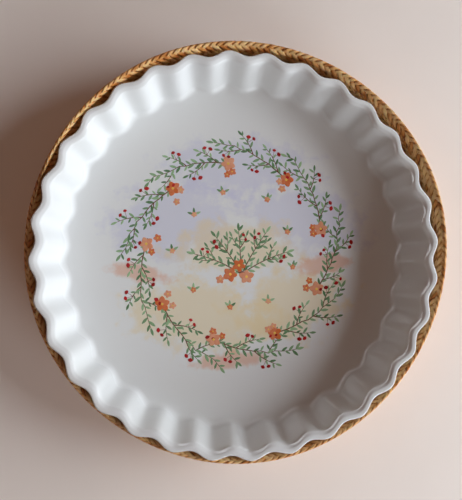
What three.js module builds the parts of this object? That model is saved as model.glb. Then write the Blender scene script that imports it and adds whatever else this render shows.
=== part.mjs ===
// A fluted porcelain tart dish standing in its round basket of plaited straw.
// Millimetres, +Z up. The origin is the centre of the basket's underside, on the table.
// The dish is a thin white shell whose wall waves in and out. The basket is one long plait,
// coiled flat for the base and then upwards for the wall, so that its rim climbs by one row
// of plait in a turn and drops again where the plait ends.
import * as THREE from 'three';
import { mergeVertices } from 'three/addons/utils/BufferGeometryUtils.js';

// Driving dimensions of the dish
const RIM_DIAMETER = 300;
const DISH_HEIGHT = 40;
const FLUTES = 32;
const FLUTE_DEPTH = 4.15;
const FLUTE_TURN = 2.95;
const RIM_WIDTH = 6.3;
const WALL_THICKNESS = 3.8;
const FLOOR_DIAMETER = 267;
const FLOOR_HEIGHT = 6;
const FOOT_DIAMETER = 248;
const FOOT_WIDTH = 4;
const FOOT_HEIGHT = 1.5;

// The dish isn't quite in the middle of the basket.
const DISH_SHIFT_X = -2.3;
const DISH_SHIFT_Y = -3.6;

// The rim is round outside, from its underside to the crown, and nearly level for some way inwards
// from there. It then bends down to a fine crease, where the inner wall begins. The shares say
// where the part inside the crown is cut.
const CROWN_INSET = 1.1;
const RIM_RISE = 2;
const RIM_ANGLES = [-10, 35, 90];
const RIM_TOP = 2.5;
const RIM_BEND = 0.9;
const TOP_SLOPE = 0.1;
const RIM_SHARES = [0.3, 0.55, 1];
const CREASE_STEP = 0.25;

// Inside, a round fillet joins the wall to the floor. Outside, a wider corner leads to the foot.
const FLOOR_FILLET = 5;
const FILLET_REACH = 1.8;
const FILLET_ANGLES = [0, 40, 75];
const FLOOR_RUN_OUT = 6.5;
const CORNER_TOP = 11;
const CORNER_REACH = 4.9;
const CORNER_ANGLES = [60, 30, 0];
const FOOT_STEP = 2;
const FOOT_STEP_HEIGHT = 1.2;
const SHOULDER_HEIGHT = 35;

// Near the floor the flutes are a little deeper, with round lobes between sharper creases. Round
// the fillet they fade by a share of their depth.
const TOE_FLUTE_DEPTH = 4.4;
const TOE_FADE = 0.3;
const TOE_SHARPNESS = 0.5;
const LOBE_SOFTNESS = 0.3;

// Driving dimensions of the basket
const BASKET_DIAMETER = 315.6;
const BASKET_FOOT_DIAMETER = 294;
const BASE_THICKNESS = 6;
const ROW_HEIGHT = 6;
const WALL_ROWS = 6;
const FIRST_ROW_HEIGHT = 4.8;
const PLAIT_THICKNESS = 4.6;
const ROW_GROOVE = 0.9;

// Where in a row the plait bulges, as shares of the row's height
const OUTER_BULGES = [0.28, 0.72];
const INNER_BULGE = 0.5;

// The top of the uppermost row slopes inwards, from near its outer edge to its inner edge.
const TOP_EDGE_INSET = 1.3;
const TOP_EDGE_RISE = 0.1;
const INNER_EDGE_INSET = 4.1;
const INNER_EDGE_DROP = 0.2;

// The wall leans out most near the table, is widest a little below the rim and curls back in
// above that by so many millimetres for each millimetre of height.
const WIDEST_HEIGHT = 39.3;
const LEAN_CURVE = 1.6;
const RIM_CURL = 0.52;

// The edge between the base and the wall
const FOOT_EDGE_INSET = 0.8;
const FOOT_EDGE_HEIGHT = 1.2;
const UNDERSIDE_INSET = 4.5;
const INNER_CORNER_INSET = 4.6;
const INNER_CORNER_HEIGHT = 7.4;
const INNER_BASE_INSET = 7;

// The plait's end at the rim: its angle, the share of a turn over which the row thins out, the
// share of the row that is left at the end, and how far the end is tucked in.
const COIL_END = 168;
const COIL_TAPER = 0.055;
const END_SHARE = 0.3;
const END_TUCK = 2;

// A hand-sewn coil is never quite round: it is a little oval and a little three-cornered.
const OVAL = 0.5;
const OVAL_TURN = 34;
const LOBES = 0.5;
const LOBES_TURN = 23;

// Room left between the dish and the basket under it
const GAP = 0.3;

// How finely the curved surfaces are cut
const DISH_STEPS = FLUTES * 8;
const FOOT_STEPS = FLUTES * 2;
const BASKET_STEPS = 80;

const DEGREE = Math.PI / 180;

// Points that are meant to meet are rounded to the same place before they are merged.
const ROUNDING = 1e-4;

// Points, strips and caps

// Triangles gathered one by one. Rings are listed from the underside's centre outwards, up the
// outside, over the rim and down the inside, with their points anticlockwise from above, so that
// every face points out of the solid.
class Skin {
  constructor() {
    this.positions = [];
  }

  triangle(a, b, c) {
    for (const p of [a, b, c]) {
      for (const value of [p.x, p.y, p.z]) {
        this.positions.push(Math.round(value / ROUNDING) * ROUNDING);
      }
    }
  }

  // A ring closes by repeating its first point, so it has one point more than it has steps.
  // Two rings may differ in their steps by a whole ratio: a point of the coarser one then serves
  // the points of the finer one that are nearest to it.
  strip(lower, upper) {
    const steps = Math.max(lower.length, upper.length) - 1;
    const pick = (ring, i) => {
      const ratio = steps / (ring.length - 1);
      return ring[Math.floor((i + (ratio - 1) / 2) / ratio)];
    };
    for (let i = 0; i < steps; i += 1) {
      const a = pick(lower, i);
      const b = pick(lower, i + 1);
      const c = pick(upper, i + 1);
      const d = pick(upper, i);
      if (a !== b) {
        this.triangle(a, b, c);
      }
      if (c !== d) {
        this.triangle(a, c, d);
      }
    }
  }

  strips(rings) {
    for (let k = 0; k + 1 < rings.length; k += 1) {
      this.strip(rings[k], rings[k + 1]);
    }
  }

  // A disc about one centre point, under the solid or on top of it
  disc(ring, facesUp) {
    const middle = new THREE.Vector3(ring.centre.x, ring.centre.y, ring[0].z);
    for (let i = 0; i + 1 < ring.length; i += 1) {
      if (facesUp) {
        this.triangle(middle, ring[i], ring[i + 1]);
      } else {
        this.triangle(middle, ring[i + 1], ring[i]);
      }
    }
  }

  // A small flat face, fanned from its first corner, with the corners in the order of its outline
  cap(corners) {
    for (let k = 1; k + 1 < corners.length; k += 1) {
      this.triangle(corners[0], corners[k], corners[k + 1]);
    }
  }

  geometry() {
    const soup = new THREE.BufferGeometry();
    soup.setAttribute('position', new THREE.Float32BufferAttribute(this.positions, 3));
    const merged = mergeVertices(soup, ROUNDING / 4);
    merged.computeVertexNormals();
    return merged;
  }
}

function ringOf(steps, centre, pointAt) {
  const ring = [];
  for (let i = 0; i < steps; i += 1) {
    ring.push(pointAt(i / steps));
  }
  ring.push(ring[0]);
  ring.centre = centre;
  return ring;
}

// Dish

// The wave of the wall: 1 on an outward crest and -1 in a trough. At the rim it is an even wave.
// Towards the floor the crests sharpen into creases between round inward lobes.
function fluteWave(turn, sharpness) {
  const phase = 2 * Math.PI * FLUTES * turn;
  const lobe = Math.hypot(Math.sin(phase / 2), LOBE_SOFTNESS) - LOBE_SOFTNESS;
  const fullLobe = Math.hypot(1, LOBE_SOFTNESS) - LOBE_SOFTNESS;
  const creased = 1 - (2 * lobe) / fullLobe;
  return (1 - sharpness) * Math.cos(phase) + sharpness * creased;
}

function dishRing(radius, height, depth = 0, sharpness = 0) {
  const centre = new THREE.Vector2(DISH_SHIFT_X, DISH_SHIFT_Y);
  const steps = depth > 0 ? DISH_STEPS : FOOT_STEPS;
  return ringOf(steps, centre, (turn) => {
    const r = radius + (depth / 2) * fluteWave(turn, sharpness);
    const angle = 2 * Math.PI * turn + FLUTE_TURN * DEGREE;
    const x = centre.x + r * Math.cos(angle);
    const y = centre.y + r * Math.sin(angle);
    return new THREE.Vector3(x, y, BASE_THICKNESS + GAP + height);
  });
}

// From the foot's outer edge round the wide corner to the bottom of the wall
function cornerRings() {
  const start = FOOT_DIAMETER / 2 + FOOT_STEP;
  const reach = FLOOR_DIAMETER / 2 + CORNER_REACH - start;
  const rise = CORNER_TOP - FOOT_STEP_HEIGHT;
  return CORNER_ANGLES.map((degrees) => {
    const outward = Math.cos(degrees * DEGREE);
    const height = CORNER_TOP - rise * Math.sin(degrees * DEGREE);
    return dishRing(start + reach * outward, height, FLUTE_DEPTH * outward ** 2);
  });
}

// How far the rim has fallen at a distance inwards from its crown, where its slope ends at 45
// degrees
function rimDrop(inward) {
  const past = inward - RIM_TOP;
  const bent = Math.hypot(past, RIM_BEND) + past;
  const start = Math.hypot(RIM_TOP, RIM_BEND) - RIM_TOP;
  return TOP_SLOPE * inward + ((1 - TOP_SLOPE) / 2) * (bent - start);
}

// The rim, from the outside over its crown to the crease
function rimRings(rimRadius) {
  const crown = rimRadius - CROWN_INSET;
  const outer = RIM_ANGLES.map((degrees) => {
    const height = DISH_HEIGHT - RIM_RISE * (1 - Math.sin(degrees * DEGREE));
    return dishRing(crown + CROWN_INSET * Math.cos(degrees * DEGREE), height, FLUTE_DEPTH);
  });
  const inner = RIM_SHARES.map((share) => {
    const inward = share * (RIM_WIDTH - CROWN_INSET);
    return dishRing(crown - inward, DISH_HEIGHT - rimDrop(inward), FLUTE_DEPTH);
  });
  return [...outer, ...inner];
}

// From the bottom of the inner wall round the fillet to the floor
function filletRings() {
  const start = FLOOR_DIAMETER / 2 + FILLET_REACH - FLOOR_FILLET;
  return FILLET_ANGLES.map((degrees) => {
    const inward = Math.sin(degrees * DEGREE);
    const radius = start + FLOOR_FILLET * Math.cos(degrees * DEGREE);
    const height = FLOOR_HEIGHT + FLOOR_FILLET * (1 - inward);
    const depth = TOE_FLUTE_DEPTH * (1 - TOE_FADE * inward ** 2);
    return dishRing(radius, height, depth, TOE_SHARPNESS);
  });
}

function dishGeometry() {
  const rimRadius = (RIM_DIAMETER - FLUTE_DEPTH) / 2;
  const footRadius = FOOT_DIAMETER / 2;
  const innerTop = rimRadius - RIM_WIDTH - CREASE_STEP;
  const creaseDepth = rimDrop(RIM_WIDTH - CROWN_INSET) + CREASE_STEP;
  const recess = dishRing(footRadius - FOOT_WIDTH - FOOT_HEIGHT, FOOT_HEIGHT);
  const floor = dishRing(FLOOR_DIAMETER / 2 - FLOOR_RUN_OUT, FLOOR_HEIGHT);
  const skin = new Skin();
  skin.disc(recess, false);
  skin.strips([
    recess,
    dishRing(footRadius - FOOT_WIDTH, 0),
    dishRing(footRadius, 0),
    dishRing(footRadius + FOOT_STEP, FOOT_STEP_HEIGHT),
    ...cornerRings(),
    dishRing(innerTop + WALL_THICKNESS, SHOULDER_HEIGHT, FLUTE_DEPTH),
    ...rimRings(rimRadius),
    dishRing(innerTop, DISH_HEIGHT - creaseDepth, FLUTE_DEPTH),
    ...filletRings(),
    floor,
  ]);
  skin.disc(floor, true);
  return skin.geometry();
}

// Basket

function outOfRound(angle) {
  const oval = OVAL * Math.cos(2 * (angle - OVAL_TURN * DEGREE));
  const lobes = LOBES * Math.cos(3 * (angle - LOBES_TURN * DEGREE));
  return oval + lobes;
}

// The wall's outer radius at a height above the table
function wallRadius(height, angle) {
  const down = Math.max(0, 1 - height / WIDEST_HEIGHT);
  const lean = ((BASKET_DIAMETER - BASKET_FOOT_DIAMETER) / 2) * down ** LEAN_CURVE;
  const curl = RIM_CURL * Math.max(0, height - WIDEST_HEIGHT);
  return BASKET_DIAMETER / 2 - lean - curl + (1 - down) * outOfRound(angle);
}

function basketPoint(radius, angle, height) {
  return new THREE.Vector3(radius * Math.cos(angle), radius * Math.sin(angle), height);
}

// A level ring, so far inside the radius of the basket's foot
function footRing(inset, height) {
  const radius = BASKET_FOOT_DIAMETER / 2 - inset;
  const centre = new THREE.Vector2(0, 0);
  return ringOf(BASKET_STEPS, centre, (turn) => {
    return basketPoint(radius, 2 * Math.PI * turn + COIL_END * DEGREE, height);
  });
}

// How much of the top row is left near the plait's end, where it is tucked in
function endTaper(turn) {
  return Math.min(1, END_SHARE + ((1 - END_SHARE) * (1 - turn)) / COIL_TAPER);
}

// One line of points that climbs a row in a turn. The row number may be a fraction, and inset is
// how far the line lies inside the wall's outer radius.
function climbingLine(row, inset) {
  const line = [];
  for (let i = 0; i <= BASKET_STEPS; i += 1) {
    const turn = i / BASKET_STEPS;
    const angle = 2 * Math.PI * (turn % 1) + COIL_END * DEGREE;
    const topRow = Math.max(0, row - (WALL_ROWS - 1));
    const taper = endTaper(turn);
    const shownRow = row - topRow + topRow * taper;
    const height = FIRST_ROW_HEIGHT + ROW_HEIGHT * (shownRow + turn);
    const tuck = topRow > 0 ? END_TUCK * (1 - taper) : 0;
    line.push(basketPoint(wallRadius(height, angle) - inset - tuck, angle, height));
  }
  return line;
}

// The outside of the wall upwards: a groove under each row, then the row's bulges
function outerLines() {
  const lines = [];
  for (let row = 0; row < WALL_ROWS; row += 1) {
    lines.push(climbingLine(row, ROW_GROOVE));
    for (const share of OUTER_BULGES) {
      lines.push(climbingLine(row + share, 0));
    }
  }
  lines.push(climbingLine(WALL_ROWS, ROW_GROOVE));
  return lines;
}

// The inside of the wall downwards, as far as the second row, which stands on the base
function innerLines() {
  const lines = [climbingLine(WALL_ROWS - INNER_EDGE_DROP, INNER_EDGE_INSET)];
  for (let row = WALL_ROWS - 1; row > 0; row -= 1) {
    lines.push(climbingLine(row + INNER_BULGE, PLAIT_THICKNESS));
    lines.push(climbingLine(row, PLAIT_THICKNESS - ROW_GROOVE));
  }
  return lines;
}

function basketGeometry() {
  const outer = outerLines();
  const crown = climbingLine(WALL_ROWS + TOP_EDGE_RISE, TOP_EDGE_INSET);
  const inner = innerLines();
  const underside = footRing(UNDERSIDE_INSET, 0);
  const footEdge = footRing(FOOT_EDGE_INSET, FOOT_EDGE_HEIGHT);
  const innerCorner = footRing(INNER_CORNER_INSET, INNER_CORNER_HEIGHT);
  const innerBase = footRing(INNER_BASE_INSET, BASE_THICKNESS);

  const skin = new Skin();
  skin.disc(underside, false);
  skin.strips([underside, footEdge, ...outer, crown, ...inner, innerCorner, innerBase]);
  skin.disc(innerBase, true);

  // Where a turn has been climbed, the lines meet those of the row above. What is left open there
  // is the first row's start, outside and inside, and the cut end of the plait at the rim.
  const starts = (lines) => lines.map((line) => line[0]);
  const ends = (lines) => lines.map((line) => line[BASKET_STEPS]);
  const outerRow = OUTER_BULGES.length + 1;
  const innerRow = 2;
  skin.cap([footEdge[0], ...starts(outer.slice(0, outerRow + 1))]);
  skin.cap([innerCorner[0], ...starts(inner.slice(-innerRow - 1))]);
  skin.cap([
    ...starts([crown, inner[0], inner[1]]),
    ...ends([inner[2], inner[1], inner[0], crown, ...outer.slice(-outerRow).reverse()]),
    ...starts(outer.slice(-1)),
  ]);
  return skin.geometry();
}

// Scene graph

function node(name, geometry, material) {
  const mesh = new THREE.Mesh(geometry, material);
  mesh.name = name;
  return mesh;
}

const porcelain = new THREE.MeshStandardMaterial({ color: 0xe9ecec, roughness: 0.14, metalness: 0 });
const straw = new THREE.MeshStandardMaterial({ color: 0xc99a5c, roughness: 0.72, metalness: 0 });

const tartDish = new THREE.Group();
tartDish.add(node('dish', dishGeometry(), porcelain));
tartDish.add(node('basket', basketGeometry(), straw));

export default tartDish;
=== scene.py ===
import math
import random
from functools import partial

import bpy
from bpy.props import FloatProperty, FloatVectorProperty, IntProperty, PointerProperty
from mathutils import Matrix, Vector


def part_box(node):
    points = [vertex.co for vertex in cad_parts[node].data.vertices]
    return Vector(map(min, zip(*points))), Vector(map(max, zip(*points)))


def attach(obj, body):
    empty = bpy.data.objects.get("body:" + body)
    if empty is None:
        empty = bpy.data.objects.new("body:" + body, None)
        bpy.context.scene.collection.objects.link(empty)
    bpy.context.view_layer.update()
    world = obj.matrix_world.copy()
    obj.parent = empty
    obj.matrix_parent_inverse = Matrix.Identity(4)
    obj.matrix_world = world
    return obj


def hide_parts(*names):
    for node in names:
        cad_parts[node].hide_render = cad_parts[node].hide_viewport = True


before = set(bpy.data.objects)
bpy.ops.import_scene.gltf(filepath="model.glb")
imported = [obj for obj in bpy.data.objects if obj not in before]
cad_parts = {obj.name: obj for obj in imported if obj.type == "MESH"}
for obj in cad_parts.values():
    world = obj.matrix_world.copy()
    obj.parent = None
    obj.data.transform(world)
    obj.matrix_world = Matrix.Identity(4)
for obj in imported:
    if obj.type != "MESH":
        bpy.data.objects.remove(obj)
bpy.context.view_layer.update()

bl_info = {
    "name": "Tart Dish in Straw Basket",
    "version": (1, 0, 0),
    "blender": (4, 5, 0),
    "location": "3D View > Sidebar > Tart Dish",
    "description": "Builds a fluted porcelain dish with a printed garland, and its plaited straw basket",
    "category": "Add Mesh",
}

MM = 0.001
DEGREE = math.pi / 180

# What the frame says: where the dish stands and how high it is
DISH_LOW, DISH_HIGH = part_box("dish")
DISH_CENTRE = (DISH_LOW + DISH_HIGH) / 2
DISH_FOOT = DISH_LOW.z


def linear(hex_colour):
    """An sRGB hex colour as linear red, green and blue."""
    channels = [int(hex_colour[i:i + 2], 16) / 255 for i in (0, 2, 4)]
    return [c / 12.92 if c <= 0.04045 else ((c + 0.055) / 1.055) ** 2.4 for c in channels]


def number(name, description, default, **details):
    """A plain number property."""
    return FloatProperty(name=name, description=description, default=default, **details)


def length(name, description, default):
    """A size property in metres."""
    return number(name, description, default, unit="LENGTH", precision=5)


def angle(name, description, degrees):
    """An angle property, given in degrees."""
    return number(name, description, degrees * DEGREE, unit="ROTATION")


def count(name, description, default, least=1):
    """A whole number property."""
    return IntProperty(name=name, description=description, default=default, min=least)


def vector(name, description, default, **details):
    """A property of three numbers."""
    return FloatVectorProperty(name=name, description=description, default=default, size=3, **details)


def colour(name, description, hex_colour):
    """A colour property, given as an sRGB hex value."""
    return vector(name, description, linear(hex_colour), subtype="COLOR", min=0, max=1)


class DishSizes(bpy.types.PropertyGroup):
    """The dish's form."""
    rim_diameter: length("Rim diameter", "Across the crests of the rim", 0.300)
    height: length("Height", "From the foot to the top of the rim", DISH_HIGH.z - DISH_LOW.z)
    flutes: count("Flutes", "Waves round the wall", 32, 3)
    flute_depth: length("Flute depth", "From crest to trough at the rim", 0.00415)
    toe_flute_depth: length("Toe flute depth", "From crest to trough near the floor", 0.0044)
    flute_turn: angle("Flute turn", "Angle of the first crest from +X", 2.95)
    rim_width: length("Rim width", "From the outer edge to the crease inside the rim", 0.0063)
    crown_inset: length("Crown inset", "From the outer edge to the top of the rim", 0.0015)
    rim_rise: length("Rim rise", "Height of the rim's round outer side", 0.0024)
    rim_top: length("Rim top", "Width of the nearly level top, inwards from the crown", 0.0025)
    wall: length("Wall", "Thickness of the wall under the rim", 0.0038)
    floor_diameter: length("Floor diameter", "Where the wall meets the floor", 0.267)
    floor_height: length("Floor height", "Top of the floor above the foot", 0.006)
    fillet: length("Fillet", "Radius between the inner wall and the floor", 0.005)
    corner_height: length("Corner height", "Top of the wide outer corner above the foot", 0.011)
    shoulder_drop: length("Shoulder drop", "Bottom of the rim below its top", 0.005)
    foot_diameter: length("Foot diameter", "Outside of the foot ring", 0.248)
    foot_width: length("Foot width", "Width of the foot ring", 0.004)
    foot_height: length("Foot height", "Depth of the recess inside the foot ring", 0.0015)
    steps: count("Steps", "Points round the wall", 896, 96)


class PrintSizes(bpy.types.PropertyGroup):
    """The garland printed on the dish's floor."""
    garland_radius: length("Garland radius", "Middle of the ring of sprigs", 0.080)
    shift: length("Shift", "How far the garland lies off the middle, towards +Y", 0.001)
    sprigs: count("Sprigs", "Sprigs round the ring", 9)
    sprig_span: angle("Sprig span", "How far round the ring a sprig reaches", 50)
    leaf_length: length("Leaf length", "Length of a large leaf", 0.0064)
    leaf_width: length("Leaf width", "Width of a large leaf", 0.0022)
    leaf_spacing: length("Leaf spacing", "Between the leaves along a twig", 0.0029)
    twig: length("Twig", "Width of a twig at its foot", 0.0011)
    berry: length("Berry", "Diameter of a berry", 0.0029)
    petal: length("Petal", "Length of a petal of a large blossom", 0.0062)
    thickness: length("Thickness", "Thickness of the enamel", 0.00008)
    seed: count("Seed", "Seed of everything scattered", 7, 0)


class BasketSizes(bpy.types.PropertyGroup):
    """The coil of the basket and its plait."""
    diameter: length("Diameter", "Across the widest turn", 0.3138)
    foot_diameter: length("Foot diameter", "Where the wall would meet the table", 0.294)
    row_height: length("Row height", "How far the coil climbs in a turn", 0.006)
    first_row: length("First row", "Bottom of the first wall row above the table", 0.0048)
    wall_rows: count("Wall rows", "Turns of the coil in the wall", 6)
    widest_height: length("Widest height", "Where the wall stops leaning outwards", 0.0393)
    rim_curl: number("Rim curl", "Lean inwards above the widest turn", 0.52)
    plait_thickness: length("Plait thickness", "Of the wall", 0.0048)
    rim_thickness: length("Rim thickness", "Of the top row", 0.0077)
    rim_slope: angle("Rim slope", "How much further than the wall the top row slopes inwards", 28)
    base_thickness: length("Base thickness", "Of the coiled base", 0.0058)
    coil_end: angle("Coil end", "Where the plait ends at the rim", 168)
    stitch: length("Stitch", "Length of plait in which a strand goes once round", 0.022)
    unevenness: length("Unevenness", "How far the stitches wander along the plait", 0.0035)
    strands: count("Strands", "Strands that wind each way round the plait", 4)
    coverage: number("Coverage", "Share of the plait that its strands cover", 0.92)
    strand_thickness: length("Strand thickness", "Of one flat strand", 0.0006)
    crossing: length("Crossing", "How far a strand rises to pass over another", 0.00028)
    seed: count("Seed", "Seed of the unevenness", 3, 0)


class Finishes(bpy.types.PropertyGroup):
    """Colours of the glaze, the enamels and the straw."""
    glaze: colour("Glaze", "White porcelain under clear glaze", "eceeed")
    leaf_dark: colour("Dark leaf", "Darker sage green", "5a8058")
    leaf_light: colour("Light leaf", "Lighter sage green", "a0c294")
    twig: colour("Twig", "Brown enamel", "8a5a45")
    berry: colour("Berry", "Red enamel", "c22f30")
    blossom: colour("Blossom", "Terracotta enamel", "d8703f")
    blossom_pale: colour("Pale blossom", "Peach enamel", "e8a988")
    heart: colour("Heart", "Yellow enamel", "e7c15c")
    lavender: colour("Lavender", "Pale lavender wash", "d2d3ea")
    sand: colour("Sand", "Cream to sand wash", "eed9a6")
    clay: colour("Clay", "Pale terracotta wash", "e3a077")
    straw_light: colour("Light straw", "Palest straw", "ffc98c")
    straw_gold: colour("Golden straw", "Most of the straw", "d88c48")
    straw_dark: colour("Dark straw", "Brownest straw", "703012")


class StageSettings(bpy.types.PropertyGroup):
    """Floor, light and camera."""
    floor: colour("Floor", "Plain pale floor", "f9efe7")
    floor_size: length("Floor size", "Width of the floor", 3)
    light_distance: length("Light distance", "Distance of the lights", 1.6)
    light_colour: colour("Light colour", "Daylight", "f0f8ff")
    fill: colour("Fill", "Light from all round", "ae8a76")
    fill_strength: number("Fill strength", "Strength of the fill light", 0.31)
    camera: vector("Camera", "Place of the camera", (-0.03526, -0.02176, 0.37036), unit="LENGTH", precision=5)
    camera_right: vector("Camera right", "Direction to the picture's right", (0.9968, -0.0045, 0.0794))
    camera_up: vector("Camera up", "Direction to the picture's top", (-0.0001, 0.9984, 0.0572))
    lens: number("Lens", "Focal length in millimetres on a 36 mm sensor", 32.4)


# The lights: power in watts, azimuth and elevation in degrees, and width and height in metres. The
# long back light and the small glint light stand for bright windows.
LIGHT_PARTS = ("power", "azimuth", "elevation", "width", "height")
LIGHTS = {
    "key": (26, 1, 24.5, 1.2, 0.8),
    "side": (10, -53, 21, 0.9, 0.54),
    "back": (12, 140, 50, 2.8, 0.25),
    "glint": (2.5, 5, 35, 0.3, 0.2),
}

for light_name, (power, azimuth, elevation, width, height) in LIGHTS.items():
    title = light_name.title()
    StageSettings.__annotations__.update({
        f"{light_name}_power": number(f"{title} power", "Power of the light", power, unit="POWER"),
        f"{light_name}_azimuth": angle(f"{title} azimuth", "Direction of the light, from +X", azimuth),
        f"{light_name}_elevation": angle(f"{title} elevation", "Angle above the table", elevation),
        f"{light_name}_width": length(f"{title} width", "Width of the light", width),
        f"{light_name}_height": length(f"{title} height", "Height of the light", height),
    })

GROUPS = {
    "tart_dish": DishSizes,
    "tart_print": PrintSizes,
    "tart_basket": BasketSizes,
    "tart_finishes": Finishes,
    "tart_stage": StageSettings,
}


# Nodes, trees and pieces

# What the names of node types begin with
PREFIXES = ("ShaderNode", "GeometryNode", "Node")


def open_output(value):
    """The first open output of a node, or the value itself."""
    if isinstance(value, bpy.types.Node):
        return next(output for output in value.outputs if output.enabled)
    return value


def add_node(tree, kind, inputs=(), stops=(), **settings):
    """Adds a node with its settings. Its kind is a node type's name without the prefix, its inputs
    are values, sockets or nodes, by place or by name, and its stops are a colour ramp's places and
    linear colours."""
    node = tree.nodes.new(next(prefix + kind for prefix in PREFIXES if hasattr(bpy.types, prefix + kind)))
    for name, value in settings.items():
        setattr(node, name, value)
    for place, rgb in stops:
        node.color_ramp.elements.new(place).color = (*rgb, 1)
    if stops:
        # The two stops that a new ramp has, at its ends
        for end in (0, -1):
            node.color_ramp.elements.remove(node.color_ramp.elements[end])
    open_sockets = [socket for socket in node.inputs if socket.enabled]
    by_name = {socket.name: socket for socket in reversed(open_sockets)}
    for key, value in inputs.items() if isinstance(inputs, dict) else enumerate(inputs):
        socket = open_sockets[key] if isinstance(key, int) else by_name[key]
        value = open_output(value)
        if isinstance(value, bpy.types.NodeSocket):
            tree.links.new(value, socket)
        else:
            socket.default_value = value
    return node


def new_tree(name, inputs):
    """A geometry tree with a geometry input and output, and a named input for each size."""
    tree = bpy.data.node_groups.new(name, "GeometryNodeTree")
    for socket_name, kind in {"Geometry": "Geometry", **inputs}.items():
        tree.interface.new_socket(socket_name, in_out="INPUT", socket_type="NodeSocket" + kind)
    tree.interface.new_socket("Geometry", in_out="OUTPUT", socket_type="NodeSocketGeometry")
    add = partial(add_node, tree)
    return tree, add, add("GroupInput").outputs


def end_tree(add, geometry, material):
    """Ends a tree: smooth shading, real instances and the material."""
    smooth = add("SetShadeSmooth", [geometry])
    real = add("RealizeInstances", [smooth])
    dressed = add("SetMaterial", {"Geometry": real, "Material": material})
    add("GroupOutput", [dressed])


def new_material(name):
    """An empty material, and what adds a node to it."""
    material = bpy.data.materials.new(name)
    material.use_nodes = True
    material.node_tree.nodes.clear()
    return material, partial(add_node, material.node_tree)


def mesh_of(name, points, edges, faces=(), **attributes):
    """A mesh with point attributes: numbers or vectors."""
    mesh = bpy.data.meshes.new(name)
    mesh.from_pydata(points, edges, faces)
    for attribute, values in attributes.items():
        is_vector = hasattr(values[0], "__len__")
        layer = mesh.attributes.new(attribute, "FLOAT_VECTOR" if is_vector else "FLOAT", "POINT")
        flat = [part for value in values for part in value] if is_vector else list(values)
        layer.data.foreach_set("vector" if is_vector else "value", flat)
    return mesh


def grow(name, seed_mesh, tree, values):
    """Runs a tree on a mesh and keeps the result as a plain mesh piece."""
    source = bpy.data.objects.new(name + "_seed", seed_mesh)
    bpy.context.scene.collection.objects.link(source)
    modifier = source.modifiers.new("Tree", "NODES")
    modifier.node_group = tree
    for item in tree.interface.items_tree:
        if item.in_out == "INPUT" and item.name in values:
            modifier[item.identifier] = values[item.name]
    bpy.context.view_layer.update()
    depsgraph = bpy.context.evaluated_depsgraph_get()
    mesh = bpy.data.meshes.new_from_object(source.evaluated_get(depsgraph), depsgraph=depsgraph)
    mesh.name = name
    source.modifiers.clear()
    bpy.data.objects.remove(source)
    if not mesh.polygons:
        raise RuntimeError(f"{name} came out empty")
    piece = bpy.data.objects.new(name, mesh)
    bpy.context.scene.collection.objects.link(piece)
    return piece


def finish_piece(piece, slot, *nodes):
    """Lets a piece ride with the object, in place of any nodes. The slot, a finish of the record, is not
    used.
    """
    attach(piece, "root")
    if nodes:
        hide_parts(*nodes)


def towards(bearing):
    """The level direction of a bearing."""
    return Vector((math.cos(bearing), math.sin(bearing)))


# Materials

# Most values of a noise texture lie between these.
MOST = (0.3, 0.7)
GLAZE_IOR = 1.52

# Washes of thin colour on the floor: place from the garland's middle, half sizes and turn, all in
# millimetres and degrees, and the name of the enamel.
WASHES = (
    (-50, 24, 63, 37, 8, "lavender"),
    (56, 28, 61, 35, -10, "lavender"),
    (2, 69, 71, 28, 2, "lavender"),
    (-24, -52, 71, 33, -6, "sand"),
    (43, -41, 56, 33, 12, "sand"),
    (0, 4, 60, 26, 0, "sand"),
    (-76, -17, 28, 9, -12, "clay"),
    (71, -11, 30, 9, 10, "clay"),
    (-4, -86, 37, 8, 4, "clay"),
)

# How deep under the floor's top the washes begin and reach their full strength
WASH_DEPTHS = (0.6 * MM, 0.2 * MM)

# A wash's strength grows from 0 to its most between two distances from its middle, in half sizes,
# to which ragged patches and a fine grain add.
WASH_EDGE = (1.95, 1.45)
WASH_MOST = 0.55
WASH_RAGGED = 1.5
WASH_GRAIN = 0.35


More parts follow.
